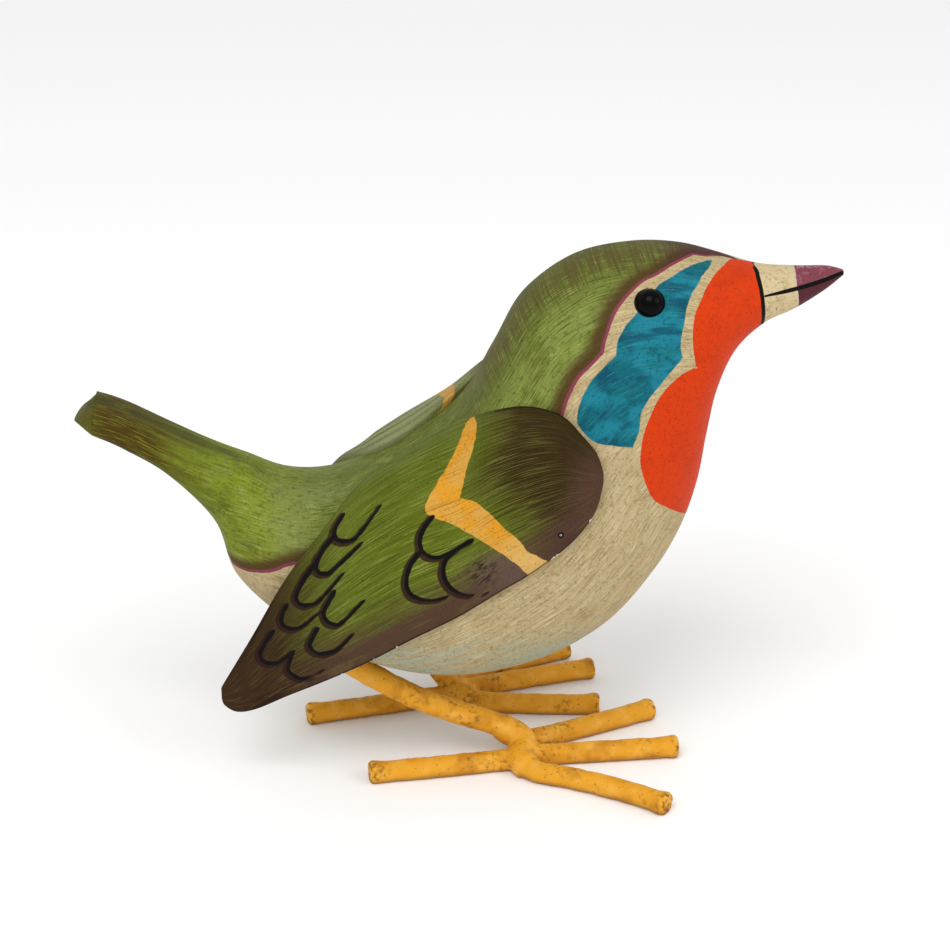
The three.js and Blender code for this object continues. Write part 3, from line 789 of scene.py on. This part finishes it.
def wire(path, radius, knob=1.0):
    """A bent wire with cut ends; the far end is a little swollen where the cutter squeezed it."""
    curve = smooth_rows(path, WIRE_STEPS)
    run = np.gradient(curve, axis=0)
    run /= np.linalg.norm(run, axis=1, keepdims=True)
    sideways = np.cross(run, [0.0, 0.0, 1.0])
    upright = np.linalg.norm(sideways, axis=1) < NEARLY_UPRIGHT
    sideways[upright] = np.cross(run[upright], [0.0, 1.0, 0.0])
    sideways /= np.linalg.norm(sideways, axis=1, keepdims=True)
    upward = np.cross(sideways, run)
    length = np.concatenate([[0], np.cumsum(np.linalg.norm(np.diff(curve, axis=0), axis=1))])
    from_end = length[-1] - length
    girth = radius * (1 + (knob - 1) * np.exp(-((from_end - KNOB_PLACE) / KNOB_LENGTH) ** 2))
    girth[-1] *= CUT_EDGE
    turn = np.linspace(0, 2 * math.pi, WIRE_SIDES, endpoint=False)
    ring = np.cos(turn)[None, :, None] * sideways[:, None] + np.sin(turn)[None, :, None] * upward[:, None]
    points = curve[:, None] + ring * girth[:, None, None]
    return points.reshape(-1, 3), skin_faces(len(curve), WIRE_SIDES)


def foot_mesh(foot):
    """All wires of a foot melted into one coat, with a lumpy surface and a flat underside."""
    wires = [wire(foot["leg"], LEG_RADIUS), wire(foot["knuckle"], KNUCKLE_RADIUS)]
    for toe in foot["toes"]:
        wires.append(wire([(x, y, TOE_HEIGHT) for x, y in toe], TOE_RADIUS, TOE_KNOB))
    points, faces = [], []
    for wire_points, wire_faces in wires:
        start = sum(len(p) for p in points)
        faces += [tuple(i + start for i in face) for face in wire_faces]
        points.append(wire_points)
    mesh = bpy.data.meshes.new("wires")
    mesh.from_pydata((np.concatenate(points) * MM).tolist(), [], faces)
    loose = bpy.data.objects.new("wires", mesh)
    bpy.context.scene.collection.objects.link(loose)
    melt = loose.modifiers.new("melt", "REMESH")
    melt.mode = "VOXEL"
    melt.voxel_size = COAT_VOXEL * MM
    soften = loose.modifiers.new("soften", "SMOOTH")
    soften.iterations = COAT_SOFTENING
    whole = bpy.data.meshes.new_from_object(loose.evaluated_get(bpy.context.evaluated_depsgraph_get()))
    bpy.data.objects.remove(loose)
    count = len(whole.vertices)
    place, normal = np.zeros(count * 3), np.zeros(count * 3)
    whole.vertices.foreach_get("co", place)
    whole.vertices.foreach_get("normal", normal)
    place, normal = place.reshape(-1, 3) / MM, normal.reshape(-1, 3)
    lumps = np.array([noise.noise(Vector(p) / LUMP_SIZE)
                      + SMALL_LUMP_SHARE * noise.noise(Vector(p) / SMALL_LUMP_SIZE) for p in place])
    place = place + normal * (lumps * LUMP_HEIGHT)[:, None]
    place[:, 2] = np.maximum(place[:, 2], 0.0)
    return place, [tuple(face.vertices) for face in whole.polygons]


enamel = coated_wire()
for name, foot in (("leg_right", RIGHT_FOOT), ("leg_left", LEFT_FOOT)):
    points, faces = foot_mesh(foot)
    ends = [np.linalg.norm(points - [*toe[-1], TOE_HEIGHT], axis=1) for toe in foot["toes"]]
    marks = {"height": points[:, 2], "ends": np.min(ends, axis=0) - TOE_RADIUS}
    make_piece("wire_" + name, points + middle_shift, faces, name, enamel, marks)

# Build the eyes
glass = black_bead()
swing = np.linspace(BEAD_POLE, math.pi - BEAD_POLE, BEAD_LEVELS)[:, None]
turn = np.linspace(0, 2 * math.pi, BEAD_TURNS, endpoint=False)
outwards = np.repeat(-np.cos(swing), BEAD_TURNS, axis=1)
ball = np.stack([np.sin(swing) * np.cos(turn), outwards, np.sin(swing) * np.sin(turn)], axis=2)
bead_faces = skin_faces(BEAD_LEVELS, BEAD_TURNS)
for name, side in (("eye_right", 1), ("eye_left", -1)):
    bead = ball.reshape(-1, 3) * EYE_RADIUS * np.array([1.0, side * BEAD_FLATNESS, 1.0])
    centre = np.array(EYE_CENTRE) * np.array([1, side, 1])
    faces = bead_faces if side == 1 else [face[::-1] for face in bead_faces]
    make_piece("bead_" + name, bead + centre + middle_shift, faces, name, glass, {})

# Studio
floor_mesh = bpy.data.meshes.new("floor")
corners = [(x * FLOOR_HALF, y * FLOOR_HALF, 0) for x, y in ((-1, -1), (1, -1), (1, 1), (-1, 1))]
floor_mesh.from_pydata(corners, [], [(0, 1, 2, 3)])
floor_mesh.materials.append(studio_floor())
floor = bpy.data.objects.new("floor", floor_mesh)
bpy.context.scene.collection.objects.link(floor)

world = bpy.data.worlds.new("studio")
world.use_nodes = True
world.node_tree.nodes["Background"].inputs["Color"].default_value = (1.0, 1.0, 1.0, 1.0)
world.node_tree.nodes["Background"].inputs["Strength"].default_value = ROOM_LIGHT
bpy.context.scene.world = world

for name, place, size, power in SOFTBOXES:
    light = bpy.data.lights.new(name, "AREA")
    light.shape = "SQUARE"
    light.size = size
    light.energy = power
    lamp = bpy.data.objects.new(name, light)
    lamp.location = place
    lamp.rotation_euler = (Vector(LIT_PLACE) - Vector(place)).to_track_quat("-Z", "Y").to_euler()
    bpy.context.scene.collection.objects.link(lamp)

# Camera
back = Vector((math.sin(AZIMUTH) * math.cos(ELEVATION), -math.cos(AZIMUTH) * math.cos(ELEVATION),
               math.sin(ELEVATION)))
lens = bpy.data.cameras.new("camera")
lens.sensor_width = SENSOR_WIDTH
lens.lens = LENS_LENGTH
camera = bpy.data.objects.new("camera", lens)
camera.location = TARGET + back * DISTANCE
camera.rotation_euler = (-back).to_track_quat("-Z", "Y").to_euler()
bpy.context.scene.collection.objects.link(camera)
bpy.context.scene.camera = camera
bpy.context.scene.view_settings.view_transform = "Standard"
